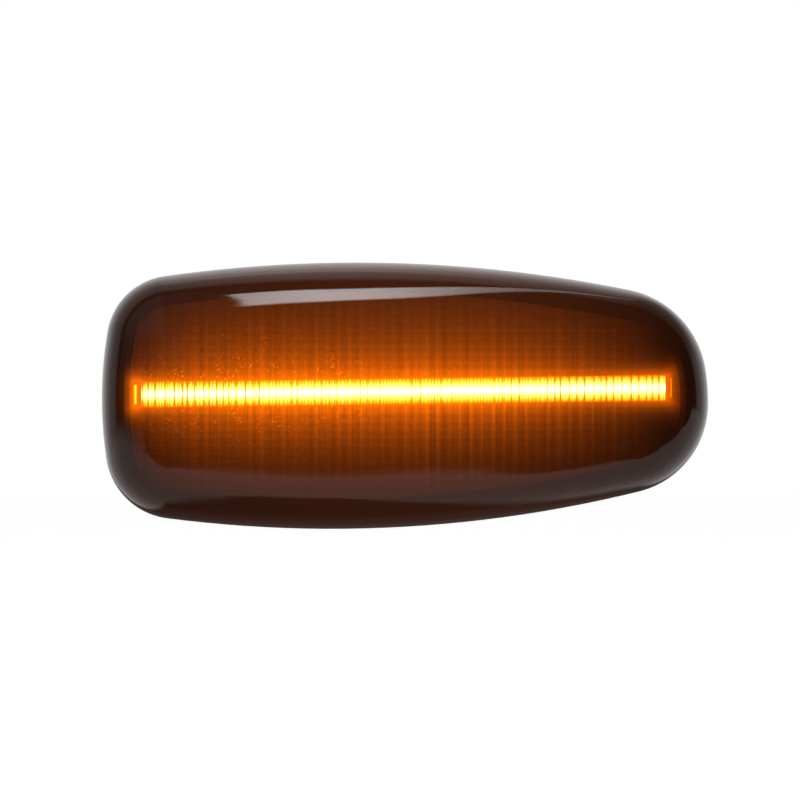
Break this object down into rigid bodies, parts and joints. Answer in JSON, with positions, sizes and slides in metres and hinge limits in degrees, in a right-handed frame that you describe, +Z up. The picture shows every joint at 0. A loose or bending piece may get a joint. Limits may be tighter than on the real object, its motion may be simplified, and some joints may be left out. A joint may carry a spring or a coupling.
{
  "type": "side repeater lamp",
  "caption": "Oval side repeater lamp: smoked lens over a fluted inner lens and amber light bar, on a base that hooks and snaps into a body panel.",
  "frame": {"origin": "middle of the lens outline, on the outer face of the body panel where the gasket seats", "axes": "+X along the lamp towards its slim end, +Y into the body panel, +Z up; the lens faces -Y"},
  "size_m": [0.118, 0.0368, 0.0518],
  "materials": {
    "smoked_lens": "polished, smoke-tinted clear plastic",
    "clear_lens": "polished clear plastic with moulded flutes",
    "bezel_black": "moulded black plastic with fine level ridges",
    "light_guide": "frosted plastic, lit amber",
    "board_white": "white solder mask",
    "led_body": "white package with a yellow dish",
    "resistor_body": "black film between tinned ends",
    "chip_black": "black moulded package with tinned legs",
    "can_metal": "bare can",
    "screw_steel": "zinc plated",
    "tinned_brass": "tinned",
    "sealant": "cured bead",
    "foam": "closed cell foam",
    "housing_black": "moulded, fine grain"
  },
  "bodies": {
    "root": {"outer_lens": "smoked_lens", "inner_lens": "clear_lens", "bezel": "bezel_black", "light_bar": "light_guide", "led_board": "board_white", "led_01": "led_body", "led_02": "led_body", "led_03": "led_body", "led_04": "led_body", "led_05": "led_body", "led_06": "led_body", "led_07": "led_body", "led_08": "led_body", "led_09": "led_body", "led_10": "led_body", "led_11": "led_body", "led_12": "led_body", "led_13": "led_body", "led_14": "led_body", "led_15": "led_body", "led_16": "led_body", "led_17": "led_body", "led_18": "led_body", "led_19": "led_body", "led_20": "led_body", "led_21": "led_body", "led_22": "led_body", "led_23": "led_body", "led_24": "led_body", "resistor_1": "resistor_body", "resistor_2": "resistor_body", "resistor_3": "resistor_body", "resistor_4": "resistor_body", "resistor_5": "resistor_body", "resistor_6": "resistor_body", "driver_ic": "chip_black", "polarity_diode": "chip_black", "capacitor": "can_metal", "board_screws": "screw_steel", "terminal_feed": "tinned_brass", "terminal_ground": "tinned_brass", "seal_bead": "sealant", "gasket": "foam", "base_housing": "housing_black"}
  },
  "joints": []
}
